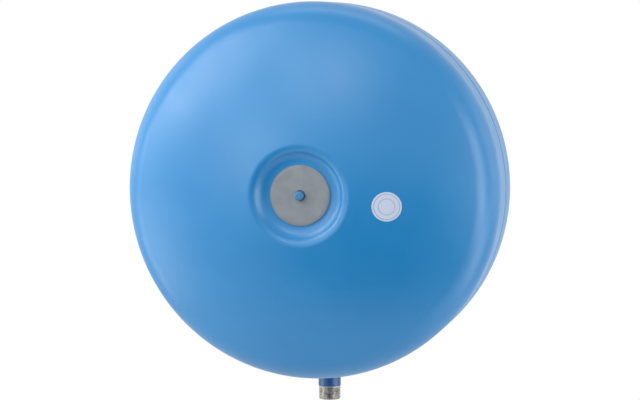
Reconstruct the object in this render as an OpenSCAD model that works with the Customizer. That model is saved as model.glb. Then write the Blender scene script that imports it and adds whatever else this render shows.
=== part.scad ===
// Flat, round diaphragm expansion vessel of about 25 litres, hung on a wall.
// Millimetres. +Z is up, the front looks along -Y, and the wall is the plane y = 0.
// The origin is the middle of the wall strap's two entry holes, on the wall.

/* [Vessel] */
// Outside diameter of the steel body
body_d = 436; // [360:1:530]
// Straight wall from the seam forward to the front knuckle
front_straight = 44; // [34:1:60]
// Straight wall from the seam back to the rear knuckle
rear_straight = 40; // [32:1:60]
// Outside radius of the shallow crown of both ends
crown_r = 436; // [360:1:600]
// Outside radius of the knuckle between crown and straight wall
knuckle_r = 44; // [34:1:60]
// Thickness of the steel sheet
sheet_t = 1.5; // [1:0.1:2.4]

/* [Seam] */
// Width of the groove left between the two shells
groove_w = 4; // [3:0.1:6]
// Length of the rear shell's lip inside the front shell
lap = 12; // [9:1:16]
// Inside radius of the bend from the rear wall down to its lip
shoulder_bend = 1.5; // [1:0.1:3]
// Depth of the weld's crown below the body's surface
weld_sink = 1; // [0.8:0.1:1.2]

/* [Valve recess] */
// Depth of the recess floor below the top of the crown
recess_depth = 13.6; // [11:0.1:17]
// Radius of the hollow curve that rises from the recess floor
hollow_r = 18; // [14:0.5:22]
// Radius of the recess's rounded rim
rim_r = 12; // [9:0.5:15]
// Diameter of the pocket for the valve nut, under the cover
pocket_d = 48; // [38:1:58]
// Depth of the pocket below the recess floor
pocket_depth = 12; // [9:0.5:15]

/* [Cover and label] */
// Diameter of the plastic cover disc
cover_d = 68.8; // [57:0.1:83]
// Thickness of the cover disc
cover_t = 1.6; // [1.2:0.1:2.5]
// Depth of the cover's ring inside the pocket
spigot_depth = 5; // [3:0.5:7]
// Diameter of the round sticker on the crown
label_d = 33; // [20:1:45]
// Sticker's distance to the right of the vessel's axis
label_x = 99; // [85:1:125]
// Sticker's height above the vessel's axis
label_z = -11; // [-40:1:40]
// Thickness of the sticker
label_t = 0.2; // [0.1:0.05:0.5]

/* [Gas valve] */
// Diameter of the threaded shank that the nut holds
shank_d = 10; // [8.5:0.1:12]
// Diameter of the shank's flange inside the vessel
flange_d = 22; // [18:0.5:28]
// Thickness of that flange
flange_t = 2.5; // [1.5:0.1:4]
// Thickness of the rubber gasket
gasket_t = 2; // [1:0.1:3]
// Outside diameter of the washer
washer_d = 20; // [17:0.5:26]
// Thickness of the washer
washer_t = 1.2; // [0.8:0.1:2]
// Width across the flats of the nut
nut_af = 14; // [13:0.5:19]
// Height of the nut
nut_h = 5; // [3:0.1:6]
// Outside diameter of the valve's tip
tip_d = 7.7; // [7.4:0.1:9.3]
// Length of the valve's tip
tip_l = 11; // [10:0.1:13.5]

/* [Valve cap] */
// Outside diameter of the dust cap
cap_d = 11; // [10.4:0.1:13.2]
// Thickness of the cap's end wall
cap_end_t = 1.8; // [1.4:0.1:2.4]
// Thickness of the cap's sealing disc
cap_seal_t = 1; // [0.6:0.1:1.5]
// Radius of the rounding round the cap's end
cap_round = 2.4; // [1:0.1:2.6]
// Number of grip grooves round the cap
cap_grooves = 18; // [12:1:24]

/* [Water connection] */
// Diameter over the connection's thread
thread_d = 26.44; // [22:0.01:32]
// Length of the connection's thread, with its chamfer
thread_l = 16; // [12:0.5:22]
// Diameter of the connection's neck above the thread
neck_d = 26.9; // [22:0.1:33]
// Bore of the connection
nipple_bore = 19; // [15:0.1:20]
// Connection's reach below the body
nipple_reach = 40; // [32:1:50]
// Connection's axis behind the seam
nipple_back = 54; // [45:1:58]
// Chamfer at the thread's end
nipple_chamfer = 1.2; // [0.8:0.1:2]
// Leg of the weld round the connection
nipple_weld_leg = 2.3; // [1.5:0.1:4]
// Thickness of the perforated guard in its inner end
guard_t = 1.5; // [1:0.1:2]
// Diameter of the guard's holes
guard_hole_d = 3.8; // [2:0.1:4.2]

/* [Diaphragm] */
// Gap between the diaphragm's side and the shell
diaphragm_gap = 9; // [7:0.5:11]
// Thickness of the rubber
diaphragm_t = 2.4; // [1.5:0.1:4]
// Length of the side before its own knuckle
diaphragm_straight = 10; // [5:1:20]
// Radius of its knuckle
diaphragm_knuckle = 60; // [50:1:80]
// Radius of its crown
diaphragm_crown = 420; // [350:1:600]
// Height of the bead at its rim
bead_h = 10; // [8:0.5:14]
// Thickness of the steel ring that clamps the bead
clamp_t = 2; // [1.2:0.1:3]

/* [Wall strap] */
// Length of the strap
strap_l = 180; // [150:1:216]
// Height of the strap
strap_w = 44; // [38:1:56]
// Thickness of the strap
strap_t = 3; // [2:0.1:4]
// Inside radius of the strap's bends
strap_bend = 3; // [1:0.5:5]
// Height of the entry holes above the vessel's axis
strap_up = 80; // [60:1:110]
// Distance between the two entry holes
hole_span = 150; // [110:1:160]
// Diameter of the entry holes
entry_d = 14; // [12:0.1:17]
// Width of the slots above them
slot_w = 8; // [6:0.1:9]
// Rise of the slots above the entry holes' centres
slot_rise = 12; // [10:0.1:14]
// Gap between the rear crown and the wall
wall_gap = 2; // [1:0.1:4]
// Leg of the welds at the strap's feet
strap_weld_leg = 3; // [2:0.1:4]

/* [Hidden] */
$fn = 120;

// Clearances
shell_fit = 0.25;    // between sheets that lie against each other
weld_fit = 0.1;      // between a weld and what it joins
slip = 0.05;         // round shafts, screwed parts and pressed parts
cap_slip = 0.1;      // between the cap's thread and the valve's tip
cover_fit = 0.3;     // between the cover's ring and the pocket's wall
cover_edge = 1.1;    // from the cover's edge to the start of the hollow curve
cap_hole_fit = 0.4;  // between the cap and the hole in the cover
label_fit = 0.1;     // under the sticker
overlap = 1;         // how far cuts and joined outlines run past each other

// The body
body_r = body_d / 2;
inner_r = body_r - sheet_t;
knuckle_x = body_r - knuckle_r;
crown_h = crown_r - sqrt(pow(crown_r - knuckle_r, 2) - pow(knuckle_x, 2));
front_top = front_straight + crown_h;
rear_top = rear_straight + crown_h;
seam_y = -(rear_top + wall_gap);
axis_z = -strap_up;
crown_c = [0, front_top - crown_r];
shoulder_r = shoulder_bend + sheet_t;
lip_r = inner_r - shell_fit;

// The recess: a hollow arc that meets a rim arc, which meets the crown
cover_r = cover_d / 2;
floor_r = cover_r + cover_edge;
floor_v = front_top - recess_depth;
hollow_c = [floor_r, floor_v + hollow_r];
rim_c = right_meeting(hollow_c, hollow_r + rim_r, crown_c, crown_r - rim_r);
rim_out = rim_c + (rim_c - crown_c) / norm(rim_c - crown_c) * 2 * rim_r;
pocket_r = pocket_d / 2;
pocket_v = floor_v - pocket_depth;

// The gas valve, from the inside out
shank_r = shank_d / 2;
valve_hole_r = shank_r + 4 * slip;
gasket_v = pocket_v - sheet_t - gasket_t;
flange_v = gasket_v - flange_t;
nut_v = pocket_v + washer_t;
tip_r = tip_d / 2;
tip_v = nut_v + nut_h + 1;
tip_end = tip_v + tip_l;

// The valve core
core_bore_r = 2.65;
gas_bore_r = 2.2;
barrel_r = core_bore_r - 2 * slip;
barrel_sink = 1.2;
barrel_l = 6;
foot_r = 1.95;
seal_ring_t = 1.2;
foot_l = 2 * seal_ring_t;
cavity_r = 1.6;
bridge_t = 1.4;
pin_r = 0.7;
pin_bore_r = pin_r + 0.15;
collar_r = 1.3;
collar_t = 0.6;
poppet_r = 1.9;
poppet_t = 1.6;
poppet_seal_t = 0.8;
barrel_top = tip_end - barrel_sink;
barrel_v = barrel_top - barrel_l;
step_v = barrel_v - seal_ring_t;
foot_v = barrel_v - foot_l;
pin_top = tip_end - 0.3;
collar_v = barrel_top - 0.4 - collar_t;
spring_v = foot_v + bridge_t;
spring_wire_r = 0.17;
spring_mean_r = 1.2;
spring_turns = 6;
spring_steps = 20;
spring_sides = 8;

// The cap
cap_r = cap_d / 2;
cap_v = tip_v + 0.8;
cap_cavity_end = tip_end + cap_seal_t;
cap_top = cap_cavity_end + cap_end_t;
groove_r = 0.45;

// The water connection
thread_r = thread_d / 2;
neck_r = neck_d / 2;
bore_r = nipple_bore / 2;
nipple_y = seam_y + nipple_back;
nipple_end_z = axis_z - body_r - nipple_reach;
wall_drop = drop(nipple_back + neck_r);
nipple_top_z = axis_z - body_r + wall_drop + sheet_t + 2;
guard_r = bore_r + 1.5;

// The diaphragm and its clamp
diaphragm_r = inner_r - diaphragm_gap;
bead_v = lap + 1;
clamp_r = diaphragm_r - diaphragm_t - shell_fit;

// The wall strap
strap_depth = drop_crown(norm([strap_l / 2, strap_up + strap_w / 2])) + wall_gap + overlap;
strap_outer_bend = strap_bend + strap_t;
rear_crown_c = [0, seam_y + rear_top - crown_r, axis_z];

// Fall of the rear knuckle below the straight wall, a distance s behind the seam
function drop(s) = s <= rear_straight ? 0 : knuckle_r - sqrt(pow(knuckle_r, 2) - pow(s - rear_straight, 2));
// Fall of the crown, a distance r from the vessel's axis
function drop_crown(r) = crown_r - sqrt(pow(crown_r, 2) - pow(r, 2));
// Where two circles meet, on the side away from the axis
function right_meeting(a, ra, b, rb) =
  let (d = norm(b - a), u = (b - a) / d, along = (ra * ra - rb * rb + d * d) / (2 * d),
    across = sqrt(ra * ra - along * along))
  a + u * along + [abs(u[1]), u[0] * -sign(u[1])] * across;
// One cross-section of the spring's wire, at turn t of the coil
function spring_ring(t, pitch) = [for (i = [0 : spring_sides - 1])
  let (a = 360 * i / spring_sides, r = spring_mean_r + spring_wire_r * cos(a))
  [r * cos(360 * t), r * sin(360 * t), pitch * t + spring_wire_r * sin(a)]];

// Turns a shape about the vessel's axis: v runs forward from the seam along local z
module on_axis() {
  translate([0, seam_y, axis_z]) rotate([90, 0, 0]) children();
}

module tube_2d(inside, outside, from, to) {
  translate([inside, from]) square([outside - inside, to - from]);
}

// Half outline of a dished end: side wall, knuckle and crown, all moved in by inset
module dished_2d(r, straight, crown, knuckle, inset, from) {
  k = [r - knuckle, straight];
  c = [0, straight - sqrt(pow(crown - knuckle, 2) - pow(k[0], 2))];
  far = k + (k - c) / norm(k - c) * 2 * knuckle;
  tube_2d(0, r - inset, from, straight);
  translate(k) intersection() {
    circle(r = knuckle - inset);
    translate([-overlap, -overlap]) square(2 * knuckle);
  }
  intersection() {
    translate(c) circle(r = crown - inset);
    polygon([[0, straight - overlap], [k[0], straight - overlap], k, far, [0, far[1] + crown]]);
  }
}

// The air in the front recess, with its surface moved into the sheet by inset. It runs past the rim
module recess_2d(inset) {
  floor_in = floor_v - inset;
  right = rim_c[0] + 3 * rim_r;
  top = front_top + 3 * rim_r;
  difference() {
    union() {
      polygon([[-overlap, floor_in], [floor_r, floor_in], hollow_c, rim_c, [right, rim_c[1]], [right, top],
        [-overlap, top]]);
      intersection() {
        translate(hollow_c) circle(r = hollow_r + inset);
        translate([floor_r, floor_v - hollow_r]) square(2 * hollow_r);
      }
    }
    translate(rim_c) circle(r = rim_r - inset);
  }
  tube_2d(-overlap, pocket_r + inset, pocket_v - inset, floor_v);
}

// The front outline: the dished end outside the rim's line, and the recess's surface inside it
module front_2d(inset) {
  intersection() {
    dished_2d(body_r, front_straight, crown_r, knuckle_r, inset, -overlap);
    polygon([[rim_c[0], -2 * overlap], [2 * body_r, -2 * overlap], [2 * body_r, rim_out[1]], rim_out, rim_c]);
  }
  difference() {
    polygon([[0, -overlap], [rim_c[0], -overlap], rim_c, rim_out, [0, rim_out[1]]]);
    recess_2d(inset);
  }
}

// The rear outline, with v running back from the seam: shoulder, then the lip inside the front shell
module rear_2d(inset, lip_end) {
  bend_c = [body_r - shoulder_r, groove_w / 2 + shoulder_r];
  dished_2d(body_r, rear_straight, crown_r, knuckle_r, inset, bend_c[1]);
  tube_2d(0, bend_c[0], groove_w / 2 + inset, bend_c[1] + overlap);
  translate(bend_c) intersection() {
    circle(r = shoulder_r - inset);
    translate([-overlap, -2 * shoulder_r]) square([3 * shoulder_r, 2 * shoulder_r + overlap / 2]);
  }
  tube_2d(0, lip_r - inset, lip_end, bend_c[1]);
}

module front_shell() {
  color("steelblue") on_axis() rotate_extrude() difference() {
    front_2d(0);
    front_2d(sheet_t);
    tube_2d(0, valve_hole_r, pocket_v - 2 * sheet_t, front_top);
    tube_2d(0, body_d, -2 * overlap, groove_w / 2);
  }
}

module rear_shell() {
  color("steelblue") difference() {
    on_axis() mirror([0, 0, 1]) rotate_extrude() difference() {
      rear_2d(0, -lap);
      rear_2d(sheet_t, -lap - overlap);
    }
    nipple_bar(neck_r + weld_fit);
  }
}

// A bar along the connection's axis, from inside the vessel to below it
module nipple_bar(r) {
  translate([0, nipple_y, axis_z - body_r - nipple_reach]) cylinder(r = r, h = nipple_reach + body_r / 2);
}

module seam_weld() {
  bead_r = groove_w * 0.75;
  color("midnightblue") on_axis() rotate_extrude() intersection() {
    translate([body_r - weld_sink - bead_r, 0]) circle(r = bead_r);
    tube_2d(lip_r + weld_fit, body_r, weld_fit - groove_w / 2, groove_w / 2 - weld_fit);
  }
}

module diaphragm() {
  color("dimgray") on_axis() rotate_extrude() {
    mirror([0, 1]) difference() {
      dished_2d(diaphragm_r, diaphragm_straight, diaphragm_crown, diaphragm_knuckle, 0, -bead_v - bead_h);
      dished_2d(diaphragm_r, diaphragm_straight, diaphragm_crown, diaphragm_knuckle, diaphragm_t,
        -bead_v - bead_h - overlap);
    }
    tube_2d(diaphragm_r - diaphragm_t / 2, inner_r - shell_fit, bead_v, bead_v + bead_h);
  }
}

module clamp_ring() {
  flange_from = bead_v + bead_h + shell_fit;
  color("silver") on_axis() rotate_extrude() {
    tube_2d(clamp_r - clamp_t, clamp_r, bead_v, flange_from + clamp_t);
    tube_2d(clamp_r - clamp_t, inner_r - shell_fit, flange_from, flange_from + clamp_t);
  }
}

module nipple() {
  thread_top_z = nipple_end_z + thread_l;
  color("lightgray") translate([0, nipple_y, 0]) rotate_extrude() difference() {
    union() {
      tube_2d(bore_r, thread_r - nipple_chamfer, nipple_end_z, thread_top_z);
      tube_2d(bore_r, thread_r, nipple_end_z + nipple_chamfer, thread_top_z);
      tube_2d(bore_r, neck_r, thread_top_z, nipple_top_z);
      polygon([[bore_r, nipple_end_z], [thread_r - nipple_chamfer, nipple_end_z],
        [thread_r, nipple_end_z + nipple_chamfer], [bore_r, nipple_end_z + nipple_chamfer]]);
    }
    tube_2d(0, guard_r + slip, nipple_top_z - guard_t, nipple_top_z + overlap);
  }
}

module outlet_guard() {
  hole_ring = bore_r - guard_hole_d / 2 - 1;
  color("silver") translate([0, nipple_y, nipple_top_z - guard_t]) difference() {
    cylinder(r = guard_r, h = guard_t);
    translate([0, 0, -overlap]) cylinder(d = guard_hole_d, h = guard_t + 2 * overlap);
    for (a = [0 : 60 : 300])
      rotate(a) translate([hole_ring, 0, -overlap]) cylinder(d = guard_hole_d, h = guard_t + 2 * overlap);
  }
}

module nipple_weld() {
  color("midnightblue") intersection() {
    on_axis() mirror([0, 0, 1]) rotate_extrude() difference() {
      rear_2d(-weld_fit - nipple_weld_leg, 0);
      rear_2d(-weld_fit, -overlap);
    }
    difference() {
      nipple_bar(neck_r + weld_fit + nipple_weld_leg);
      nipple_bar(neck_r + slip);
    }
  }
}

module valve_stem() {
  color("goldenrod") on_axis() rotate_extrude() difference() {
    union() {
      tube_2d(0, flange_d / 2, flange_v, gasket_v);
      tube_2d(0, shank_r, flange_v, tip_v);
      tube_2d(0, tip_r, flange_v, tip_end);
    }
    tube_2d(0, gas_bore_r, flange_v - overlap, tip_end);
    tube_2d(0, core_bore_r, step_v, tip_end + overlap);
  }
}

module valve_gasket() {
  color("black") on_axis() rotate_extrude()
    tube_2d(shank_r + slip, flange_d / 2, gasket_v, pocket_v - sheet_t);
}

module valve_washer() {
  color("silver") on_axis() rotate_extrude() tube_2d(shank_r + 3 * slip, washer_d / 2, pocket_v, nut_v);
}

module valve_nut() {
  corner_r = nut_af / sqrt(3);
  color("silver") on_axis() translate([0, 0, nut_v]) difference() {
    intersection() {
      cylinder(r = corner_r, h = nut_h, $fn = 6);
      cylinder(r1 = nut_af / 2 - 0.3 + nut_h * 2, r2 = nut_af / 2 - 0.3, h = nut_h);
    }
    translate([0, 0, -overlap]) cylinder(r = shank_r + slip, h = nut_h + 2 * overlap);
  }
}

module core_barrel() {
  color("gold") on_axis() rotate_extrude() difference() {
    union() {
      tube_2d(0, barrel_r, barrel_v, barrel_top);
      tube_2d(0, foot_r, foot_v, barrel_top);
    }
    tube_2d(0, cavity_r, foot_v + bridge_t, barrel_top + overlap);
    tube_2d(0, pin_bore_r, foot_v - overlap, barrel_top);
  }
}

module core_seal_ring() {
  color("ivory") on_axis() rotate_extrude() tube_2d(foot_r + slip, core_bore_r - slip, step_v, barrel_v);
}

module core_pin() {
  pin_v = foot_v - poppet_seal_t - poppet_t;
  color("gold") on_axis() rotate_extrude() {
    tube_2d(0, pin_r, pin_v, pin_top);
    tube_2d(0, collar_r, collar_v, collar_v + collar_t);
  }
}

module core_poppet() {
  top = foot_v - poppet_seal_t;
  color("gold") on_axis() rotate_extrude() tube_2d(pin_r + slip, poppet_r, top - poppet_t, top);
}

module core_poppet_seal() {
  color("black") on_axis() rotate_extrude() tube_2d(pin_r + slip, poppet_r, foot_v - poppet_seal_t, foot_v);
}

module core_spring() {
  free = collar_v - spring_v - 2 * spring_wire_r - 4 * slip;
  rings = spring_turns * spring_steps;
  points = [for (n = [0 : rings]) each spring_ring(n / spring_steps, free / spring_turns)];
  sides = [for (n = [0 : rings - 1], i = [0 : spring_sides - 1])
    let (j = (i + 1) % spring_sides, a = n * spring_sides, b = a + spring_sides)
    each [[a + i, b + i, b + j], [a + i, b + j, a + j]]];
  start = [[for (i = [0 : spring_sides - 1]) i]];
  finish = [[for (i = [spring_sides - 1 : -1 : 0]) rings * spring_sides + i]];
  color("silver") on_axis() translate([0, 0, spring_v + spring_wire_r + 2 * slip])
    polyhedron(points, concat(sides, start, finish));
}

module valve_cap() {
  color("royalblue") on_axis() difference() {
    rotate_extrude() difference() {
      union() {
        tube_2d(0, cap_r, cap_v, cap_top - cap_round);
        tube_2d(0, cap_r - cap_round, cap_v, cap_top);
        translate([cap_r - cap_round, cap_top - cap_round]) circle(r = cap_round);
      }
      tube_2d(0, tip_r + cap_slip, cap_v - overlap, cap_cavity_end);
    }
    for (i = [0 : cap_grooves - 1])
      rotate(360 * i / cap_grooves) translate([cap_r + groove_r / 2, 0, cap_v - overlap])
        cylinder(r = groove_r, h = cap_top - cap_round - cap_v, $fn = 24);
  }
}

module cap_seal() {
  color("black") on_axis() rotate_extrude() tube_2d(0, tip_r, tip_end, cap_cavity_end);
}

module cover_disc() {
  spigot_r = pocket_r - cover_fit;
  edge = cover_t / 2;
  color("darkgray") on_axis() rotate_extrude() {
    tube_2d(cap_r + cap_hole_fit, cover_r - edge, floor_v, floor_v + cover_t);
    tube_2d(cap_r + cap_hole_fit, cover_r, floor_v, floor_v + edge);
    translate([cover_r - edge, floor_v + edge]) circle(r = edge);
    tube_2d(spigot_r - cover_t, spigot_r, floor_v - spigot_depth, floor_v + edge);
  }
}

module label() {
  color("lavender") on_axis() intersection() {
    translate([label_x, label_z, 0]) cylinder(d = label_d, h = front_top);
    translate([0, 0, crown_c[1]]) difference() {
      sphere(r = crown_r + label_fit + label_t);
      sphere(r = crown_r + label_fit);
    }
  }
}

// The strap seen from above: a flat back with both ends bent forward to the crown
module strap_2d(inset, r) {
  half = strap_l / 2 - inset;
  translate([-half, -2 * strap_depth]) square([2 * half, 2 * strap_depth - inset - r]);
  translate([r - half, -2 * strap_depth]) square([2 * (half - r), 2 * strap_depth - inset]);
  for (side = [-1, 1]) translate([side * (half - r), -inset - r]) circle(r = r);
}

module keyhole() {
  cylinder(d = entry_d, h = 4 * strap_t, center = true);
  translate([0, slot_rise / 2, 0]) cube([slot_w, slot_rise, 4 * strap_t], center = true);
  translate([0, slot_rise, 0]) cylinder(d = slot_w, h = 4 * strap_t, center = true);
}

module wall_strap() {
  color("steelblue") difference() {
    translate([0, 0, -strap_w / 2]) linear_extrude(strap_w) difference() {
      strap_2d(0, strap_outer_bend);
      strap_2d(strap_t, strap_bend);
      translate([-strap_l, -strap_depth - body_d]) square([2 * strap_l, body_d]);
    }
    translate(rear_crown_c) sphere(r = crown_r + weld_fit);
    for (side = [-1, 1]) translate([side * hole_span / 2, 0, 0]) rotate([90, 0, 0]) keyhole();
  }
}

module strap_welds() {
  bead_l = strap_w - 2 * strap_weld_leg;
  color("midnightblue") for (side = [-1, 1]) intersection() {
    translate([side * (strap_l / 2 + weld_fit + strap_weld_leg / 2), 0, 0])
      cube([strap_weld_leg, 4 * strap_depth, bead_l], center = true);
    translate(rear_crown_c) difference() {
      sphere(r = crown_r + weld_fit + strap_weld_leg);
      sphere(r = crown_r + weld_fit);
    }
  }
}

front_shell();
rear_shell();
seam_weld();
diaphragm();
clamp_ring();
nipple();
nipple_weld();
outlet_guard();
valve_stem();
valve_gasket();
valve_washer();
valve_nut();
core_barrel();
core_seal_ring();
core_pin();
core_poppet();
core_poppet_seal();
core_spring();
valve_cap();
cap_seal();
cover_disc();
label();
wall_strap();
strap_welds();
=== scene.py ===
# %% [markdown]
# # A flat, round expansion vessel
# The vessel is two pressed steel halves, welded together at a groove and painted blue. This file
# gives it its looks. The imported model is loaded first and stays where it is: it is the frame that
# every new surface is measured from.

# %% Load the frame
import bpy
import numpy as np
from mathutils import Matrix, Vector


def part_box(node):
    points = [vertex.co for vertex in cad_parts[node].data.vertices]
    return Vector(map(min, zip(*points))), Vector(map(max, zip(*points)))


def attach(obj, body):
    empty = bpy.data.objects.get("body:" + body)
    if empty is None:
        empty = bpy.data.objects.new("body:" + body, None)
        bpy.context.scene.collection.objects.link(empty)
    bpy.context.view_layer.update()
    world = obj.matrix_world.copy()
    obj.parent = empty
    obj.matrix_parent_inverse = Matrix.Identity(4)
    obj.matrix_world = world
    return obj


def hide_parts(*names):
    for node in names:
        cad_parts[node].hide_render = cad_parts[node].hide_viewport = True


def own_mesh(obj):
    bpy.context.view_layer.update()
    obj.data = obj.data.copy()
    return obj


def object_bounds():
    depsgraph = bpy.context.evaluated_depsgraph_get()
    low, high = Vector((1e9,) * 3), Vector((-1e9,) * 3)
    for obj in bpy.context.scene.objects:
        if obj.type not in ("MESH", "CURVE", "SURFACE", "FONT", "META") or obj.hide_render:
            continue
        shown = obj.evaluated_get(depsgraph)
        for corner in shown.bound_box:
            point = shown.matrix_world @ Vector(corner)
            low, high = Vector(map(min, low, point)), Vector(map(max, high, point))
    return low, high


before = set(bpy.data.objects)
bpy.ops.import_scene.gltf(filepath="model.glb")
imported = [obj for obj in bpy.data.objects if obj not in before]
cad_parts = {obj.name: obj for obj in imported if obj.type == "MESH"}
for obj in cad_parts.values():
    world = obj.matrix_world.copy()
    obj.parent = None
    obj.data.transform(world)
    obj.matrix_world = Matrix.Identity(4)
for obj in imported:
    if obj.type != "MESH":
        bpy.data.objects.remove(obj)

cad_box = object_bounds()
print("CAD box, m:", [[round(v, 4) for v in corner] for corner in cad_box])

# %% [markdown]
# ## Sizes
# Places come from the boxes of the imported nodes. Only what a box can't tell is written here, in
# millimetres: the radii of the pressed curves and the thickness of the sheet. Lengths along the
# vessel's axis are called v. They start at the middle of the seam and grow towards the front.

# %% Sizes of the vessel, in millimetres
MM = 0.001


def box_mm(node):
    """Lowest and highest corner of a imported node, in millimetres."""
    low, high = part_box(node)
    return np.array(low) / MM, np.array(high) / MM


shell_low, shell_high = box_mm("front_shell")
weld_low, weld_high = box_mm("seam_weld")
cover_low, cover_high = box_mm("cover_disc")
rear_high = box_mm("rear_shell")[1]

body_r = (shell_high[0] - shell_low[0]) / 2
axis_z = (shell_high[2] + shell_low[2]) / 2
seam_y = (weld_low[1] + weld_high[1]) / 2

sheet_t = 1.5
crown_r = 436.0
knuckle_r = 44.0
recess_depth = 13.6
hollow_r = 18.0
rim_r = 12.0
cover_t = 1.6
cover_edge = 1.1
pocket_r = 24.0
pocket_depth = 12.0
pocket_corner_r = 1.5
valve_hole_r = 5.2
groove_w = 4.0
groove_edge = 0.7
lap = 12.0

crown_h = crown_r - np.sqrt((crown_r - knuckle_r) ** 2 - (body_r - knuckle_r) ** 2)
cover_r = (cover_high[0] - cover_low[0]) / 2
floor_r = cover_r + cover_edge
floor_v = seam_y - cover_low[1] - cover_t
front_top = floor_v + recess_depth
front_straight = front_top - crown_h
rear_straight = rear_high[1] - seam_y - crown_h
inner_r = body_r - sheet_t
print(f"body radius {body_r:.2f}, seam at y = {seam_y:.2f}, axis at z = {axis_z:.2f}")
print(f"straight walls {front_straight:.2f} and {rear_straight:.2f}, crown height {crown_h:.2f}")

# %% [markdown]
# ## Surfaces from grids
# Each new piece is a grid of points worked out with numpy in one go. The grid's rows and columns
# can close on themselves, as they do on a ring, and open ends are shut with one flat face. Faces
# are found by counting: the four corners of a cell are its own index and its neighbours'.

# %% Turn a grid of points into a mesh object


def grid_object(name, points, close_rows, close_columns, cap_rows=False, sharp_deg=35):
    """Makes an object from points of shape (rows, columns, 3), in millimetres. A face joins (i, j),
    (i, j+1), (i+1, j+1) and (i+1, j), and faces the way that the step in j crossed with the step
    in i points. cap_rows shuts the first and last row. Edges over sharp_deg are shaded sharp."""
    rows, columns = points.shape[:2]
    i = np.arange(rows if close_rows else rows - 1)[:, None]
    j = np.arange(columns if close_columns else columns - 1)[None, :]
    i_next, j_next = (i + 1) % rows, (j + 1) % columns
    here, below = i * columns, i_next * columns
    corners = [here + j, here + j_next, below + j_next, below + j]
    quads = np.stack(corners, axis=-1).reshape(-1, 4)
    loops, sizes = [quads.ravel()], [np.full(len(quads), 4)]
    if cap_rows:
        first = np.arange(columns)[::-1]
        last = (rows - 1) * columns + np.arange(columns)
        loops += [first, last]
        sizes += [np.array([columns, columns])]
    loops, sizes = np.concatenate(loops), np.concatenate(sizes)
    mesh = bpy.data.meshes.new(name)
    mesh.vertices.add(rows * columns)
    mesh.vertices.foreach_set("co", (points.reshape(-1, 3) * MM).ravel())
    mesh.loops.add(len(loops))
    mesh.loops.foreach_set("vertex_index", loops)
    mesh.polygons.add(len(sizes))
    mesh.polygons.foreach_set("loop_start", np.concatenate([[0], np.cumsum(sizes)[:-1]]))
    mesh.polygons.foreach_set("use_smooth", np.ones(len(sizes), dtype=bool))
    mesh.update(calc_edges=True)
    mesh.validate()
    mesh.set_sharp_from_angle(angle=np.radians(sharp_deg))
    piece = bpy.data.objects.new(name, mesh)
    bpy.context.scene.collection.objects.link(piece)
    return piece


def arc(centre, radius, start, end, count):
    """Points (r, v) on a circular arc. Angles are in degrees, from the +r direction towards +v."""
    a = np.radians(np.linspace(start, end, count))
    return np.stack([centre[0] + radius * np.cos(a), centre[1] + radius * np.sin(a)], axis=1)


def line(start, end, count=2):
    """Evenly spaced points (r, v) from start to end."""
    t = np.linspace(0, 1, count)[:, None]
    return np.array(start, float) * (1 - t) + np.array(end, float) * t


def join(*parts):
    """One profile from several, without the point that neighbours share."""
    profile = np.concatenate(parts)
    keep = np.ones(len(profile), bool)
    keep[1:] = np.linalg.norm(np.diff(profile, axis=0), axis=1) > 1e-6
    return profile[keep]


def turn(profile, steps, centre, along, radius_scale=None):
    """Carries the profile (r, v) round an axis: point = centre + v along + r (cos a side + sin a
    up). side and up make a right-handed set with along. radius_scale, of shape (points, steps),
    may swell it. The profile runs with the solid on its left, so that faces point outwards."""
    along = np.array(along, float)
    side = np.array([1.0, 0.0, 0.0])
    up = np.cross(along, side)
    a = np.linspace(0, 2 * np.pi, steps, endpoint=False)
    ring = np.cos(a)[:, None] * side + np.sin(a)[:, None] * up
    r = profile[:, 0][:, None] * (1 if radius_scale is None else radius_scale)
    r = np.broadcast_to(r, (len(profile), steps))
    return np.array(centre) + profile[:, 1][:, None, None] * along + r[:, :, None] * ring[None]


vessel_centre = (0.0, seam_y, axis_z)
FORWARD = (0.0, -1.0, 0.0)
BACKWARD = (0.0, 1.0, 0.0)
DOWN = (0.0, 0.0, -1.0)

# %% [markdown]
# ## Colours and nodes
# Colours are written as sRGB hex values, as a paint chart gives them, and one function turns them
# linear. Another adds a shader node with its settings and links, so that a material reads as a
# short list. Patterns are sized by real lengths: a noise with a scale of 1 / length repeats about
# once in that length.

# %% Helpers for materials


def linear(hex_colour):
    """An sRGB hex colour such as "1c6fb4" as linear RGBA."""
    srgb = np.array([int(hex_colour[k:k + 2], 16) for k in (0, 2, 4)]) / 255
    rgb = np.where(srgb <= 0.04045, srgb / 12.92, ((srgb + 0.055) / 1.055) ** 2.4)
    return (*rgb.tolist(), 1.0)


def add(material, kind, inputs=None, **settings):
    """Adds a node of this kind. inputs maps a socket's name or number to a value or to another
    node's socket."""
    tree = material.node_tree
    node = tree.nodes.new(kind)
    for key, value in settings.items():
        setattr(node, key, value)
    for key, value in (inputs or {}).items():
        if isinstance(value, bpy.types.NodeSocket):
            tree.links.new(value, node.inputs[key])
        else:
            node.inputs[key].default_value = value
    return node


def new_material(name, **values):
    """A material with one Principled BSDF, whose sockets get the values given with their names."""
    material = bpy.data.materials.new(name)
    material.use_nodes = True
    shader = material.node_tree.nodes["Principled BSDF"]
    for key, value in values.items():
        shader.inputs[key.replace("_", " ").title().replace("Ior", "IOR")].default_value = value
    return material, shader


def per_mm(length):
    """The scale at which a noise repeats about once in this many millimetres."""
    return 1 / (length * MM)


def place(material):
    """The point on the piece, in metres: Object coordinates."""
    return add(material, "ShaderNodeTexCoord").outputs["Object"]


def noise(material, length, detail=2.0, stretch=None):
    """Noise that varies over this many millimetres, from 0 to 1. stretch scales its axes."""
    vector = place(material)
    if stretch:
        vector = add(material, "ShaderNodeMapping", {"Vector": vector, "Scale": stretch}).outputs[0]
    inputs = {"Vector": vector, "Scale": per_mm(length), "Detail": detail}
    return add(material, "ShaderNodeTexNoise", inputs).outputs["Fac"]


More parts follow.
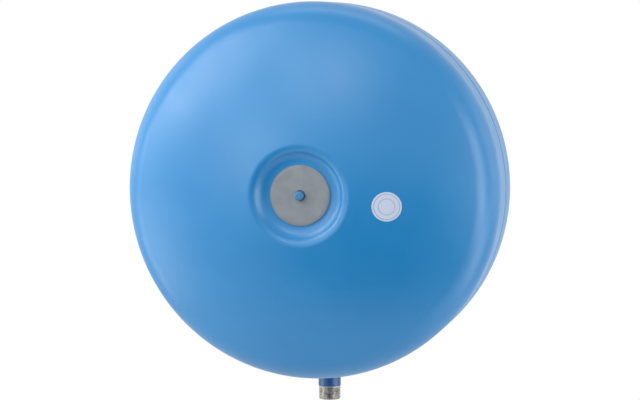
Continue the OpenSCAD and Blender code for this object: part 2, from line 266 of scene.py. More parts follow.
def between(material, value, low, high, from_low=0.3, from_high=0.7):
    """Spreads a value from one range to another, and stops at its ends."""
    inputs = {"Value": value, "From Min": from_low, "From Max": from_high,
              "To Min": low, "To Max": high}
    return add(material, "ShaderNodeMapRange", inputs).outputs["Result"]


def mix_colour(material, factor, a, b):
    """Colour a where factor is 0, and b where it is 1."""
    node = add(material, "ShaderNodeMix", data_type="RGBA")
    for key, value in ((0, factor), (6, a), (7, b)):
        if isinstance(value, bpy.types.NodeSocket):
            material.node_tree.links.new(value, node.inputs[key])
        else:
            node.inputs[key].default_value = value
    return node.outputs[2]


def bump(material, shader, height, depth_mm, under=None):
    """Raises the surface by height times depth_mm, over an earlier bump if one is given."""
    inputs = {"Height": height, "Distance": depth_mm * MM, "Strength": 1.0}
    if under:
        inputs["Normal"] = under
    normal = add(material, "ShaderNodeBump", inputs).outputs["Normal"]
    material.node_tree.links.new(normal, shader.inputs["Normal"])
    return normal


# %% [markdown]
# ## Paint
# The shells are deep-drawn steel under a baked enamel: a smooth blue with a soft gloss. Two things
# stop it from looking like plastic. The sheet is never quite true after pressing, so reflections
# wander a little over a hand's width, and the enamel has a fine orange peel. Real peel is 1 to 2 mm
# wide; it is drawn 5 mm wide here, because anything finer is lost at this distance.

# %% Baked blue enamel
BLUE_PAINT = "2185c4"
BLUE_DEEP = "1c80bf"
cloud_mm = 90
gloss_mm = 25
wave_mm, wave_depth = 70, 0.25
peel_width_mm = 5


def baked_enamel(name, light=BLUE_PAINT, deep=BLUE_DEEP, rough=(0.32, 0.38), peel_mm=0.012):
    """Blue enamel on pressed steel, with cloudy colour, uneven gloss, waviness and orange peel."""
    material, shader = new_material(name, ior=1.6)
    link = material.node_tree.links.new
    cloud = between(material, noise(material, cloud_mm), 0, 1)
    link(mix_colour(material, cloud, linear(light), linear(deep)), shader.inputs["Base Color"])
    link(between(material, noise(material, gloss_mm, 4), *rough), shader.inputs["Roughness"])
    wave = bump(material, shader, noise(material, wave_mm, 1), wave_depth)
    bump(material, shader, noise(material, peel_width_mm, 1), peel_mm, wave)
    return material


enamel = baked_enamel("baked_enamel_on_pressed_steel")
# The welds' enamel is a darker blue than the shells': it is painted shade, for the groove and the
# corners where the welds lie.
shaded_weld_enamel = baked_enamel("baked_enamel_darkened_as_groove_shade", "0f4d80", "0a3c68", (0.45, 0.55), 0.03)
print("paint:", enamel.name, "and", shaded_weld_enamel.name)

# %% [markdown]
# ## The dished ends
# A dished end is a straight wall, a tight knuckle and a shallow crown, and each curve runs into the
# next without a corner. The knuckle's circle touches the crown's circle on the line through both
# centres, so one angle says where each arc stops. The same profile, moved in by the sheet's
# thickness, is the inside.

# %% Profiles of the ends


def end_arcs(inset, straight):
    """Arcs of a dished end from the straight wall to the crown: knuckle first, then the crown's
    centre, its radius and the angle at which the knuckle meets it. inset moves the surface in."""
    knuckle_c = np.array([body_r - knuckle_r, straight])
    crown_c = np.array([0.0, straight + crown_h - crown_r])
    meet = np.degrees(np.arctan2(*(knuckle_c - crown_c)[::-1]))
    return knuckle_c, knuckle_r - inset, crown_c, crown_r - inset, meet


def tangent_circle(hollow_c, crown_c):
    """Centre of the rim's circle: it touches the hollow's circle from outside and the crown's from
    inside, so its distances to their centres are the sum and the difference of the radii."""
    a, b = hollow_r + rim_r, crown_r - rim_r
    apart = np.linalg.norm(crown_c - hollow_c)
    unit = (crown_c - hollow_c) / apart
    along = (a * a - b * b + apart * apart) / (2 * apart)
    across = np.sqrt(a * a - along * along)
    return hollow_c + unit * along + np.array([-unit[1], unit[0]]) * across


def degrees_to(start, end):
    """Direction from one point to another, in degrees from +r towards +v."""
    return np.degrees(np.arctan2(end[1] - start[1], end[0] - start[0]))


def front_side(inset):
    """One side of the front sheet, from the valve's hole to the seam. The recess is a pocket, a
    flat floor, a hollow arc and a rim arc that runs into the crown."""
    knuckle_c, k_r, crown_c, c_r, meet = end_arcs(inset, front_straight)
    hollow_c = np.array([floor_r, floor_v + hollow_r])
    rim_c = tangent_circle(hollow_c, crown_c)
    turn_deg = degrees_to(hollow_c, rim_c)
    rim_out = degrees_to(crown_c, rim_c)
    floor_in, pocket_in = floor_v - inset, floor_v - pocket_depth - inset
    corner = pocket_corner_r + inset
    corner_c = (pocket_r + inset - corner, pocket_in + corner)
    lip_c = (pocket_r + pocket_corner_r, floor_v - pocket_corner_r)
    lip = pocket_corner_r - inset
    return join(
        line((valve_hole_r, pocket_in), (corner_c[0], pocket_in), 4),
        arc(corner_c, corner, -90, 0, 6),
        arc(lip_c, lip, 180, 90, 6) if lip > 0 else line(lip_c, lip_c),
        line((pocket_r + 3, floor_in), (floor_r, floor_in), 4),
        arc(hollow_c, hollow_r + inset, -90, turn_deg, 24),
        arc(rim_c, rim_r - inset, turn_deg + 180, rim_out, 24),
        arc(crown_c, c_r, rim_out, meet, 72),
        arc(knuckle_c, k_r, meet, 0, 40),
        line((body_r - inset, front_straight), (body_r - inset, groove_w / 2 + groove_edge), 6))


def rounded_edge(outer_end, inner_end, count=7):
    """A half-round edge that joins the two sides of a sheet."""
    middle = (np.array(outer_end) + np.array(inner_end)) / 2
    radius = np.linalg.norm(np.array(outer_end) - middle)
    return arc(middle, radius, 0, -180, count)


front_outside, front_inside = front_side(0.0), front_side(sheet_t)
edge = rounded_edge(front_outside[-1], front_inside[-1])
front_profile = join(front_outside, edge, front_inside[::-1])[::-1]
rim_top_r = front_outside[front_outside[:, 1].argmax(), 0]
print(f"front shell profile: {len(front_profile)} points, rim at r = {rim_top_r:.1f}")

# %% Front shell
TURN_STEPS = 384
front_shell = grid_object("front_shell_sheet",
                          turn(front_profile, TURN_STEPS, vessel_centre, FORWARD),
                          close_rows=True, close_columns=True)
front_shell.data.materials.append(enamel)
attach(front_shell, "vessel")
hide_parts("front_shell")
print("front shell:", len(front_shell.data.polygons), "faces")

# %% [markdown]
# ## The rear shell
# The rear half is pressed with a joggle: its last 12 mm step in by a sheet's thickness and slide
# into the front half. The rounded shoulder of that step is one side of the groove that shows as
# the dark line round the vessel.

# %% Rear shell
lip_gap = 0.25
lip_r = inner_r - lip_gap
shoulder_r = 1.5 + sheet_t
apex_deg = 89.9


def rear_side(inset):
    """One side of the rear sheet, from the apex to the lip's end. v runs back from the seam."""
    knuckle_c, k_r, crown_c, c_r, meet = end_arcs(inset, rear_straight)
    bend_c = np.array([body_r - shoulder_r, groove_w / 2 + shoulder_r])
    bend_r = shoulder_r - inset
    lip = lip_r - inset
    stop = -np.degrees(np.arccos(np.clip((lip - bend_c[0]) / bend_r, -1, 1)))
    return join(
        arc(crown_c, c_r, apex_deg, meet, 84),
        arc(knuckle_c, k_r, meet, 0, 40),
        line((body_r - inset, rear_straight), (body_r - inset, bend_c[1]), 6),
        arc(bend_c, bend_r, 0, stop, 10),
        line((lip, bend_c[1] + bend_r * np.sin(np.radians(stop))), (lip, -lap), 4))


rear_profile = join(rear_side(0.0), rear_side(sheet_t)[::-1])[::-1]
rear_shell = grid_object("rear_shell_sheet",
                         turn(rear_profile, TURN_STEPS, vessel_centre, BACKWARD),
                         close_rows=False, close_columns=True, cap_rows=True)
rear_shell.data.materials.append(enamel)
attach(rear_shell, "vessel")
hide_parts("rear_shell")
print("rear shell:", len(rear_shell.data.polygons), "faces")

# %% [markdown]
# ## The seam weld
# A machine lays the weld in the groove, so its bead is even, with a ripple every few millimetres
# where the pool froze. The bead is a low arc carried round the vessel, and the ripple swells its
# radius. A slower wave on top of it keeps the bead from looking drawn with a compass.

# %% Seam weld
bead_half = groove_w / 2 - 0.1
bead_sink = 1.0
bead_foot = lip_r + 0.1
ripple_step = 3.0
bead_steps = 1536
bead_arc = np.linspace(-1, 1, 11)
bead_top = body_r - bead_sink
bead_edge = bead_foot + 0.1
bead_profile = join(
    np.stack([bead_top - (bead_top - bead_edge) * bead_arc ** 2, bead_half * bead_arc], axis=1),
    line((bead_foot, bead_half), (bead_foot, -bead_half), 3))
round_seam = np.linspace(0, 2 * np.pi, bead_steps, endpoint=False)
ripples = round(2 * np.pi * body_r / ripple_step)
ripple = np.sin(ripples * round_seam)[None, :] + 0.6 * np.sin(7 * round_seam + 1)[None, :]
ripple_height = 0.08
on_crown = (bead_profile[:, 0] > bead_edge + 0.1)[:, None]
swell = 1 + on_crown * ripple * ripple_height / body_r
seam_weld = grid_object("seam_weld_bead",
                        turn(bead_profile, bead_steps, vessel_centre, FORWARD, swell),
                        close_rows=True, close_columns=True, sharp_deg=60)
# The bead's darker blue is painted shade for the groove it lies in.
seam_weld.data.materials.append(shaded_weld_enamel)
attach(seam_weld, "vessel")
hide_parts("seam_weld")
print("seam weld:", ripples, "ripples")

# %% [markdown]
# ## The water connection
# A short steel tube is welded into the bottom of the rear shell. Its neck is painted with the
# vessel, but drawn in a darker blue than the shells: that is painted shade, for the shadow under
# the body. Its end carries a pipe thread that stays bare: the thread is a real helix here, with
# rounded crests and roots, and it fades out under the neck and into the chamfer at its end.

# %% Neck and thread
nipple_low, nipple_high = box_mm("nipple")
nipple_y = (nipple_low[1] + nipple_high[1]) / 2
nipple_centre = (0.0, nipple_y, 0.0)
neck_r = (nipple_high[0] - nipple_low[0]) / 2
thread_r = 13.22
thread_l = 16.0
thread_pitch = 1.814
thread_depth = 1.162
chamfer = 1.2
bore_r = 9.5
end_v = -nipple_low[2]
top_v = -nipple_high[2]
join_v = end_v - thread_l

guard_seat = 1.5
guard_seat_r = bore_r + 1.55
neck_edge = 0.5
neck_profile = join(
    line((bore_r, join_v), (bore_r, top_v + guard_seat)),
    line((guard_seat_r, top_v + guard_seat), (guard_seat_r, top_v)),
    line((neck_r, top_v), (neck_r, join_v - neck_edge), 12),
    arc((neck_r - neck_edge, join_v - neck_edge), neck_edge, 0, 90, 5),
    line((thread_r - thread_depth, join_v), (bore_r, join_v)))[:-1]
neck = grid_object("connection_neck", turn(neck_profile, 160, nipple_centre, DOWN),
                   close_rows=True, close_columns=True)

thread_rows = 150
thread_columns = 224
v = np.linspace(join_v - 0.01, end_v, thread_rows)[:, None]
a = np.linspace(0, 2 * np.pi, thread_columns, endpoint=False)[None, :]
turns = (v - join_v) / thread_pitch - a / (2 * np.pi)
saw = np.abs(2 * (turns - np.floor(turns)) - 1)
cut = 0.5 - 0.5 * np.cos(np.pi * saw)
runout = 1.2 * thread_pitch
fade = np.clip((v - join_v) / runout, 0, 1)
chamfer_r = thread_r - chamfer + (end_v - v)
thread_surface = np.minimum(thread_r - thread_depth * cut * fade, chamfer_r)
bore_rows = 8
inside = np.linspace(end_v, join_v - 0.01, bore_rows)[:, None]
radii = np.concatenate([thread_surface, np.broadcast_to(bore_r, (bore_rows, thread_columns))])
heights = np.concatenate([v, inside])[:, 0]
thread_grid = turn(np.stack([np.ones_like(heights), heights], axis=1), thread_columns,
                   nipple_centre, DOWN, radii)
thread = grid_object("connection_thread", thread_grid, close_rows=True, close_columns=True)
print(f"thread: {thread_l / thread_pitch:.1f} turns, {len(thread.data.polygons)} faces")

# %% [markdown]
# Turned steel shows its lathe marks as fine rings, so its roughness and its bump run round the
# axis: the noise is squeezed along z and the marks come out long and thin. A thin film of oil and
# old scale keeps the bare thread grey rather than silver.

# %% Turned steel, and the painted neck


def turned_steel(name, bright, dull, rough, mark_mm=0.6):
    """Bare turned steel with rings of lathe marks and cloudy grey film."""
    material, shader = new_material(name, metallic=1.0)
    link = material.node_tree.links.new
    film = between(material, noise(material, 6, 4), 0, 1)
    link(mix_colour(material, film, linear(bright), linear(dull)), shader.inputs["Base Color"])
    rings = noise(material, 10, 3, (1, 1, 10 / mark_mm))
    link(between(material, rings, *rough), shader.inputs["Roughness"])
    bump(material, shader, rings, 0.003)
    return material


bare_steel = turned_steel("turned_bare_steel", "c6c4be", "94928c", (0.2, 0.32))
# The neck's blue is darker than the shells': painted shade for the shadow under the body.
shaded_neck_enamel = baked_enamel("baked_enamel_darkened_as_shadow_under_body", "145a94", "104e84", (0.32, 0.38))
neck.data.materials.append(shaded_neck_enamel)
thread.data.materials.append(bare_steel)
for piece in (neck, thread):
    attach(piece, "vessel")
    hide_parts("nipple")

# %% [markdown]
# ## Hand-laid welds
# Where two surfaces meet at a corner, a weld fills the corner with a rounded fillet. At each point
# of its path the fillet needs two directions: up the standing wall and out along the base. Its
# section is a quarter turn between them, drawn in a little from a full quarter circle.

# %% A fillet along a path


def surface_r(back):
    """Radius of the body's outside, a distance behind the seam. It falls round the rear knuckle."""
    past = np.clip(back - rear_straight, 0, knuckle_r)
    return body_r - knuckle_r + np.sqrt(knuckle_r ** 2 - past ** 2)


def unit(vectors):
    """Each vector divided by its own length."""
    return vectors / np.linalg.norm(vectors, axis=-1, keepdims=True)


def fillet(name, root, up, out, leg, closed):
    """A weld along root, of shape (stations, 3). Its section is root + leg f(s) (cos s out + sin s
    up) for s from 0 to 90 degrees, with f between a flat slope and a full quarter circle."""
    s = np.radians(np.linspace(0, 90, 11))
    f = 0.5 + 0.5 / (np.cos(s) + np.sin(s))
    outward = (np.cos(s) * f)[None, :, None] * out[:, None]
    upward = (np.sin(s) * f)[None, :, None] * up[:, None]
    section = root[:, None] + leg[:, None, None] * (outward + upward)
    section = np.concatenate([root[:, None], section], axis=1)
    return grid_object(name, section, close_rows=closed, close_columns=True,
                       cap_rows=not closed, sharp_deg=50)


def ripple_leg(path_mm, leg, step=2.4):
    """Leg length along a weld: a ripple every step millimetres and a slow unsteadiness."""
    ripple_part = 0.07 * np.sin(2 * np.pi * path_mm / step)
    unsteady_part = 0.06 * np.sin(path_mm / 4.1 + 0.7)
    return leg * (1 + ripple_part + unsteady_part)


# %% Weld round the neck
round_neck = np.linspace(0, 2 * np.pi, 360, endpoint=False)


def on_body(radius):
    """Points of the body's underside on a circle round the connection's axis."""
    x = radius * np.cos(round_neck)
    y = nipple_y + radius * np.sin(round_neck)
    z = axis_z - np.sqrt(surface_r(y - seam_y) ** 2 - x ** 2)
    return np.stack([x, y, z], axis=1)


neck_root = on_body(neck_r + 0.02)
neck_out = unit(on_body(neck_r + 1.0) - neck_root)
neck_up = np.broadcast_to([0.0, 0.0, -1.0], neck_root.shape)
neck_leg_mm = 2.3
neck_leg = ripple_leg(round_neck * neck_r, neck_leg_mm)
neck_weld = fillet("connection_weld", neck_root, neck_up, neck_out, neck_leg, closed=True)
neck_weld.data.materials.append(shaded_weld_enamel)
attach(neck_weld, "vessel")
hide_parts("nipple_weld")
print("connection weld:", len(neck_weld.data.vertices), "points")

# %% Welds at the strap's feet
strap_low, strap_high = box_mm("wall_strap")
foot_x = strap_high[0] + 0.1
strap_leg_mm = 2.7
bare_end = 3.5
rear_crown_y = rear_high[1] - crown_r
strap_weld_half = (strap_high[2] - strap_low[2]) / 2 - bare_end


def on_rear_crown(x, z):
    """Points of the rear crown, a sphere, above x and z."""
    y = rear_crown_y + np.sqrt(crown_r ** 2 - x ** 2 - (z - axis_z) ** 2)
    return np.stack([x, y, z], axis=-1)


weld_z = np.linspace(-strap_weld_half, strap_weld_half, 140)
ends = np.sqrt(np.clip(1 - (weld_z / (strap_weld_half + 0.3)) ** 8, 0, 1))
strap_welds = []
for side, label in ((1, "right"), (-1, "left")):
    z = weld_z * side
    foot = on_rear_crown(side * foot_x + 0 * z, z)
    foot_out = unit(on_rear_crown(side * (foot_x + 1) + 0 * z, z) - foot)
    foot_up = np.broadcast_to([0.0, 1.0, 0.0], foot.shape)
    strap_welds.append(fillet(f"strap_weld_{label}", foot, foot_up, foot_out,
                              ripple_leg(weld_z + 30, strap_leg_mm) * ends, closed=False))
for weld in strap_welds:
    weld.data.materials.append(shaded_weld_enamel)
    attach(weld, "vessel")
    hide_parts("strap_welds")
print("strap welds:", len(strap_welds))

# %% [markdown]
# ## The wall strap
# The strap is cut and bent from 3 mm strip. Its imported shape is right, but its edges are knife
# sharp. A copy has its triangles merged back into flat faces and its edges rounded, as tumbling
# leaves them.

# %% Wall strap
strap_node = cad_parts["wall_strap"]
wall_strap = bpy.data.objects.new("wall_strap_strip", strap_node.data.copy())
bpy.context.scene.collection.objects.link(wall_strap)


def finish_copy(piece, edge_mm, segments=2):
    """Merges a copied node's doubles, dissolves its flat triangles and rounds its sharp edges."""
    weld_mod = piece.modifiers.new("merge doubles", "WELD")
    weld_mod.merge_threshold = 0.005 * MM
    flat = piece.modifiers.new("flat faces", "DECIMATE")
    flat.decimate_type = "DISSOLVE"
    flat.angle_limit = np.radians(0.5)
    edges = piece.modifiers.new("rounded edges", "BEVEL")
    edges.width = edge_mm * MM
    edges.segments = segments
    edges.limit_method = "ANGLE"
    edges.angle_limit = np.radians(40)
    edges.harden_normals = False


finish_copy(wall_strap, 0.4)
wall_strap.data.materials.clear()
wall_strap.data.materials.append(enamel)
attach(wall_strap, "vessel")
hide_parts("wall_strap")

# %% [markdown]
# ## The cover disc
# A moulded grey disc hides the valve's nut. Its face is flat, with a shallow bevel near the edge
# that catches the light as a pale ring, and a ring behind it that pushes into the pocket.

# %% Cover disc
cap_low, cap_high = box_mm("valve_cap")
cap_r = (cap_high[0] - cap_low[0]) / 2
cap_hole_r = cap_r + 0.4
face_v = floor_v + cover_t
bevel_w = 2.6
bevel_drop = 0.45
edge_r = 0.55
spigot_r = pocket_r - 0.3
spigot_v = floor_v - 5.0
cover_profile = join(
    arc((cap_hole_r + 0.4, face_v - 0.4), 0.4, 180, 90, 5),
    line((cap_hole_r + 0.4, face_v), (cover_r - bevel_w - 0.6, face_v), 16),
    line((cover_r - bevel_w, face_v - 0.04), (cover_r - edge_r - 0.3, face_v - bevel_drop), 4),
    arc((cover_r - edge_r, face_v - bevel_drop - edge_r + 0.02), edge_r, 75, 0, 6),
    line((cover_r, floor_v + 0.5), (cover_r - 0.3, floor_v + 0.02)),
    line((spigot_r, floor_v + 0.02), (spigot_r, spigot_v)),
    line((spigot_r - cover_t, spigot_v), (spigot_r - cover_t, floor_v + 0.02)),
    line((cap_hole_r, floor_v + 0.02), (cap_hole_r, face_v - 0.4)))[:-1]
cover = grid_object("cover_disc_moulding", turn(cover_profile[::-1], 256, vessel_centre, FORWARD),
                    close_rows=True, close_columns=True, sharp_deg=50)
print("cover disc:", round(2 * cover_r, 1), "mm across")

# %% [markdown]
# The cover is ABS or polypropylene from a spark-eroded mould, which leaves a fine even grain and
# no gloss. Real grain is about 0.2 mm; it is drawn 1.2 mm wide so that it still breaks up the
# light at this distance.

# %% Moulded plastic


def moulded_plastic(name, light, deep, rough, grain_mm=1.2, grain_depth=0.015):
    """Plastic with the fine grain of its mould and slightly uneven colour."""
    material, shader = new_material(name, ior=1.5)
    link = material.node_tree.links.new
    cloud = between(material, noise(material, 14, 3), 0, 1)
    link(mix_colour(material, cloud, linear(light), linear(deep)), shader.inputs["Base Color"])
    grain = noise(material, grain_mm, 2)
    link(between(material, grain, *rough), shader.inputs["Roughness"])
    bump(material, shader, grain, grain_depth)
    return material


grey_plastic = moulded_plastic("grained_grey_plastic", "8b9298", "80878e", (0.55, 0.7))
cover.data.materials.append(grey_plastic)
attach(cover, "vessel")
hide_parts("cover_disc")

# %% [markdown]
# ## The dust cap
# The cap is a small blue moulding with a domed end and grip grooves round its skirt. The grooves
# are a function of the angle: the radius dips by a narrow raised cosine eighteen times a turn,
# and only below the dome.

# %% Dust cap
skirt_v = seam_y - cap_high[1]
crest_v = seam_y - cap_low[1]
dome_r = 2.4
tip_bore_r = 3.95
cavity_v = crest_v - 1.8
grooves = 18
groove_depth = 0.32
cap_profile = join(
    line((tip_bore_r, cavity_v), (tip_bore_r, skirt_v + 0.2), 3),
    line((tip_bore_r + 0.2, skirt_v), (cap_r - 0.3, skirt_v), 2),
    arc((cap_r - 0.3, skirt_v + 0.3), 0.3, -90, 0, 5),
    line((cap_r, skirt_v + 0.3), (cap_r, crest_v - dome_r), 16),
    arc((cap_r - dome_r, crest_v - dome_r), dome_r, 0, 90, 14),
    line((cap_r - dome_r, crest_v), (0.3, crest_v), 5))
cap_profile = join(np.array([[0.3, cavity_v]]), cap_profile)
cap_angles = np.linspace(0, 2 * np.pi, 360, endpoint=False)[None, :]
on_skirt = np.clip((crest_v - dome_r + 0.4 - cap_profile[:, 1]) / 1.2, 0, 1)[:, None]
on_skirt = on_skirt * (cap_profile[:, 0] > cap_r - 0.2)[:, None]
dip = (0.5 + 0.5 * np.cos(grooves * cap_angles)) ** 3
cap_swell = 1 - on_skirt * dip * groove_depth / cap_r
cap = grid_object("dust_cap_moulding", turn(cap_profile, 360, vessel_centre, FORWARD, cap_swell),
                  close_rows=False, close_columns=True, cap_rows=True)
blue_plastic = moulded_plastic("moulded_blue_plastic", "3a7fae", "3375a4", (0.32, 0.42), 2.5, 0.004)
cap.data.materials.append(blue_plastic)
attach(cap, "cap")
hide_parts("valve_cap")
print("dust cap:", round(2 * cap_r, 1), "mm across,", round(crest_v - skirt_v, 1), "mm long")

# %% [markdown]
# ## The sticker
# A round paper sticker lies on the crown, so it is a cap of a slightly larger sphere. Its face is
# bare but for two plain grey rings.

# %% Sticker
label_low, label_high = box_mm("label")
label_r = (label_high[0] - label_low[0]) / 2
label_x = (label_high[0] + label_low[0]) / 2
label_z = (label_high[2] + label_low[2]) / 2
front_crown_y = seam_y - front_top + crown_r


def on_front_crown(radius, lift):
    """Circles round the sticker's middle, laid on the front crown and lifted off it."""
    angle = np.linspace(0, 2 * np.pi, 128, endpoint=False)[None, :]
    x = label_x + radius[:, None] * np.cos(angle)
    z = label_z + radius[:, None] * np.sin(angle)
    y = front_crown_y - np.sqrt((crown_r + lift[:, None]) ** 2 - x ** 2 - (z - axis_z) ** 2)
    return np.stack([x, y, z], axis=-1)


paper_t = 0.2
face_radii = np.linspace(0.3, label_r - 0.08, 14)
paper_radii = np.concatenate([face_radii, [label_r, label_r], face_radii[::-1]])
paper_lift = np.concatenate([np.full(14, 0.1 + paper_t), [0.06 + paper_t, 0.12], np.full(14, 0.1)])
sticker = grid_object("round_sticker", on_front_crown(paper_radii, paper_lift)[:, ::-1],
                      close_rows=False, close_columns=True, cap_rows=True, sharp_deg=60)


def printed_paper(name, paper, ink, rings_mm, width_mm):
    """Coated paper with thin printed rings: ink where the distance from the sticker's axis is
    within half a width of one of the ring radii."""
    material, shader = new_material(name, roughness=0.45)
    link = material.node_tree.links.new
    centre = (-label_x * MM, 0, -label_z * MM)
    local = add(material, "ShaderNodeMapping",
                {"Vector": place(material), "Location": centre, "Scale": (1, 0, 1)})
    distance = add(material, "ShaderNodeVectorMath", {0: local.outputs[0]},
                   operation="LENGTH").outputs["Value"]
    colour = linear(paper)
    for radius in rings_mm:
        near = add(material, "ShaderNodeMath",
                   {0: distance, 1: radius * MM, 2: width_mm / 2 * MM}, operation="COMPARE")
        colour = mix_colour(material, near.outputs[0], colour, linear(ink))
    link(colour, shader.inputs["Base Color"])
    bump(material, shader, noise(material, 1.5, 3), 0.006)
    return material


ring_radii = (14.2, 9.0)
ring_width = 0.7
sticker_paper = printed_paper("printed_coated_paper", "c8d3ea", "9aa4ba", ring_radii, ring_width)
sticker.data.materials.append(sticker_paper)
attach(sticker, "vessel")
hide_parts("label")
print("sticker:", round(2 * label_r, 1), "mm across")

# %% [markdown]
# ## What is inside
# The other pieces, apart from the valve's spring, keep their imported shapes: they are turned,
# moulded or stamped, and hidden once the vessel is closed. They still get the finish that each has
# on the bench: black rubber with a dull bloom, yellow brass with lathe rings, and zinc with its
# faint spangle.

# %% Finishes of the hidden pieces


def moulded_rubber(name, colour, bloom, rough=(0.6, 0.8)):
    """Black rubber with a greyish bloom in clouds."""
    material, shader = new_material(name, ior=1.5)
    link = material.node_tree.links.new
    cloud = between(material, noise(material, 18, 4), 0, 1)
    link(mix_colour(material, cloud, linear(colour), linear(bloom)), shader.inputs["Base Color"])
    link(between(material, noise(material, 2, 2), *rough), shader.inputs["Roughness"])
    bump(material, shader, noise(material, 1, 2), 0.02)
    return material


def zinc_plate(name):
    """Bright zinc plating: pale metal with cloudy patches of blue-grey passivation."""
    material, shader = new_material(name, metallic=1.0)
    link = material.node_tree.links.new
    cloud = between(material, noise(material, 9, 3), 0, 1)
    colour = mix_colour(material, cloud, linear("c9ccce"), linear("aeb4b8"))
    link(colour, shader.inputs["Base Color"])
    link(between(material, noise(material, 3, 3), 0.28, 0.45), shader.inputs["Roughness"])
    bump(material, shader, noise(material, 2, 2), 0.008)
    return material


def drawn_wire(name):
    """Stainless spring wire, with fine drawing lines."""
    material, shader = new_material(name, metallic=1.0)
    link = material.node_tree.links.new
    lines = noise(material, 0.6, 2)
    colour = mix_colour(material, lines, linear("bdbdb8"), linear("96968f"))
    link(colour, shader.inputs["Base Color"])
    link(between(material, lines, 0.25, 0.4), shader.inputs["Roughness"])
    return material


def turned_brass(name):
    """Free-cutting brass, turned: warm yellow metal with rings of lathe marks round the axis."""
    material, shader = new_material(name, metallic=1.0)
    link = material.node_tree.links.new
    film = between(material, noise(material, 4, 3), 0, 1)
    colour = mix_colour(material, film, linear("d8b25a"), linear("b98f42"))
    link(colour, shader.inputs["Base Color"])
    rings = noise(material, 6, 3, (1, 12, 1))
    link(between(material, rings, 0.2, 0.35), shader.inputs["Roughness"])
    bump(material, shader, rings, 0.006)
    return material


def dress(material, *nodes):
    """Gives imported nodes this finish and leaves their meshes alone."""
    for node in nodes:
        for material_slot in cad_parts[node].material_slots:
            material_slot.material = material


butyl = moulded_rubber("moulded_butyl_rubber", "17181a", "26282b")
seal_rubber = moulded_rubber("moulded_seal_rubber", "131314", "1e1f21", (0.5, 0.65))
zinc = zinc_plate("zinc_plated_steel")
dress(butyl, "diaphragm")
dress(seal_rubber, "valve_gasket", "cap_seal", "core_poppet_seal")
dress(zinc, "clamp_ring", "outlet_guard", "valve_washer", "valve_nut")
dress(turned_brass("turned_brass"), "valve_stem", "core_barrel", "core_pin", "core_poppet")
white_plastic = moulded_plastic("sintered_white_plastic", "e6e4dc", "d8d6cc", (0.45, 0.6),
                                grain_mm=0.5, grain_depth=0.004)
dress(white_plastic, "core_seal_ring")

# %% [markdown]
# ## The valve's spring
# The spring is one wire on a helix. It is a tube: a small circle carried along the helix, so each
# point is the coil's radius plus the wire's, turned about the valve's axis. The real spring
# shortens when the pin is pressed, towards the end that stands in the barrel; here it keeps one
# length, and it gets a mesh of its own.

# %% Spring of the valve core
spring_low, spring_high = box_mm("core_spring")
wire_r = 0.17
coil_turns = 6
coil_r = (spring_high[0] - spring_low[0]) / 2 - wire_r
along_coil = np.linspace(0, 1, 20 * coil_turns + 1)[:, None]
round_wire = np.linspace(0, 2 * np.pi, 12, endpoint=False)[None, :]
coil_angle = 2 * np.pi * coil_turns * along_coil
from_axis = coil_r + wire_r * np.cos(round_wire)
coil_y = spring_high[1] - wire_r - (spring_high[1] - spring_low[1] - 2 * wire_r) * along_coil
coil_points = np.stack([from_axis * np.cos(coil_angle),
                        coil_y + wire_r * np.sin(round_wire),
                        axis_z + from_axis * np.sin(coil_angle)], axis=-1)
valve_spring = grid_object("valve_spring_coil", coil_points,
                           close_rows=False, close_columns=True, cap_rows=True, sharp_deg=60)
valve_spring.data.materials.append(drawn_wire("drawn_spring_wire"))
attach(valve_spring, "vessel")
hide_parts("core_spring")
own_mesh(valve_spring)

# %% [markdown]
# ## The studio
# The vessel hangs as on a wall, above a pale floor, in front of white. A bank of five soft boxes
# leans over the left side and puts the glow on the crown; a tall narrow one on the right draws the
# bright line beside the seam, and weaker ones fill the rest. A black card low in front keeps the
# lower right of the crown deep blue. The world is white to the camera and to mirror-like surfaces,
# and a softer white to everything it lights. The floor glows a little in the same way, so that it
# looks pale from every side without lighting the vessel.

# %% Floor, world and lights
centre = Vector((0, seam_y * MM, axis_z * MM))


def towards(azimuth, elevation):
    """Unit vector from the vessel to a place at these angles: 0, 0 is straight in front."""
    az, el = np.radians(azimuth), np.radians(elevation)
    return Vector((np.sin(az) * np.cos(el), -np.cos(az) * np.cos(el), np.sin(el)))


def aim_at_vessel(thing, azimuth, elevation, distance):
    """Puts an object at this place and turns its -Z side to the vessel."""
    thing.location = centre + towards(azimuth, elevation) * distance
    thing.rotation_euler = (centre - thing.location).to_track_quat("-Z", "Y").to_euler()


def soft_light(name, azimuth, elevation, distance, width, height, brightness):
    """A white rectangular light that faces the vessel. Its surface is brightness times as bright
    as the white surround: a rectangle of area A needs pi A watts to be as bright as that."""
    data = bpy.data.lights.new(name, "AREA")
    data.shape = "RECTANGLE"
    data.size, data.size_y = width, height
    data.energy = brightness * np.pi * width * height
    lamp = bpy.data.objects.new(name, data)
    aim_at_vessel(lamp, azimuth, elevation, distance)
    bpy.context.scene.collection.objects.link(lamp)
    return lamp


def shade_card(name, azimuth, elevation, distance, width, height):
    """A black card that faces the vessel and keeps the white surround out of the paint's gloss."""
    x, y = np.array([-width, width]) / 2 / MM, np.array([-height, height]) / 2 / MM
    grid = np.stack(np.meshgrid(x, y, [0.0], indexing="ij"), axis=-1)[:, :, 0]
    card = grid_object(name, grid, close_rows=False, close_columns=False)
    aim_at_vessel(card, azimuth, elevation, distance)
    card.data.materials.append(black_felt)
    card.visible_camera = False
    return card


black_felt, _ = new_material("black_felt", base_color=linear("101010"), roughness=1.0)
black_felt.node_tree.nodes["Principled BSDF"].inputs["Specular IOR Level"].default_value = 0
shade_card("low_card", 15, -32, 1.5, 1.6, 1.9)

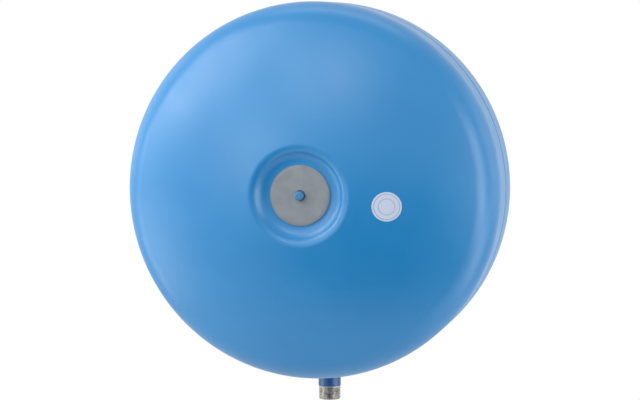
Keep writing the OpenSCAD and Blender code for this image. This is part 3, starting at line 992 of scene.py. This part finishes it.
key_bank = [(-74, 8, 3.8), (-62, 22, 7.0), (-48, 36, 5.1), (-36, 50, 2.4), (-66, 44, 4.0)]
for step, (azimuth, elevation, brightness) in enumerate(key_bank):
    soft_light(f"key_softbox_{step}", azimuth, elevation, 1.8, 0.5, 0.5, brightness)
soft_light("low_left_softbox", -75, -20, 1.7, 1.0, 0.9, 2.5)
soft_light("front_softbox", -28, 10, 2.0, 0.8, 0.8, 2.6)
soft_light("top_softbox", -4, 36, 1.9, 0.9, 0.7, 2.8)
soft_light("overhead_softbox", 0, 100, 1.7, 1.4, 0.5, 1.5)
soft_light("right_strip", 66, 3, 1.6, 0.6, 1.2, 3.8)
soft_light("low_right_softbox", 88, -25, 1.6, 0.7, 0.8, 2.2)
soft_light("rear_left_softbox", -110, 20, 1.7, 0.7, 1.2, 0.8)
soft_light("rear_right_softbox", 110, 10, 1.7, 0.7, 1.2, 0.9)


def seen_directly(owner):
    """1 where the eye, or a mirror-like or clear surface, sees this material or world; else 0."""
    path = add(owner, "ShaderNodeLightPath").outputs
    either = add(owner, "ShaderNodeMath", {0: path["Is Camera Ray"], 1: path["Is Glossy Ray"]},
                 operation="MAXIMUM")
    return add(owner, "ShaderNodeMath", {0: either.outputs[0], 1: path["Is Transmission Ray"]},
               operation="MAXIMUM").outputs[0]


world = bpy.data.worlds.new("pale studio")
bpy.context.scene.world = world
world.use_nodes = True
background = world.node_tree.nodes["Background"]
ambient = 0.4
world.node_tree.links.new(between(world, seen_directly(world), ambient, 1.0, 0, 1),
                          background.inputs["Strength"])
background.inputs["Color"].default_value = (1, 1, 1, 1)

floor_drop = 700
floor_half = 3000
floor_glow = 0.4
floor_z = cad_box[0][2] / MM - floor_drop
floor_x = np.linspace(-floor_half, floor_half, 13)
floor_grid = np.stack(np.meshgrid(floor_x, floor_x + seam_y, [floor_z], indexing="ij"), axis=-1)
floor = grid_object("pale_floor", floor_grid[::-1, :, 0], close_rows=False, close_columns=False)
pale_grey = linear("e4e5e6")
floor_paint, floor_shader = new_material("pale_floor_paint", base_color=pale_grey, roughness=0.8)
floor_shader.inputs["Emission Color"].default_value = pale_grey
glow = between(floor_paint, seen_directly(floor_paint), 0, floor_glow, 0, 1)
floor_paint.node_tree.links.new(glow, floor_shader.inputs["Emission Strength"])
floor.data.materials.append(floor_paint)
print("floor at z =", round(floor_z), "mm")

# %% [markdown]
# ## The camera
# The camera stands about two and a half metres away, a little to the right of the vessel and a
# little above its axis, with a long lens. It aims just under the axis, so that the body and its
# connection fill the frame.

# %% Camera
camera_distance = 2.6
camera_azimuth = 11.6
camera_elevation = 4.2
lens_mm = 124.63
aim_right, aim_up = -0.0008, -0.0139

camera_data = bpy.data.cameras.new("camera")
camera_data.lens = lens_mm
camera = bpy.data.objects.new("camera", camera_data)
back = towards(camera_azimuth, camera_elevation)
right = Vector((0, 0, 1)).cross(back).normalized()
camera.location = centre + back * camera_distance
aim = centre + right * aim_right + back.cross(right) * aim_up
camera.rotation_euler = (aim - camera.location).to_track_quat("-Z", "Y").to_euler()
bpy.context.scene.collection.objects.link(camera)
bpy.context.scene.camera = camera
bpy.context.scene.view_settings.view_transform = "Standard"
print(f"camera lens {camera_data.lens:.1f} mm")
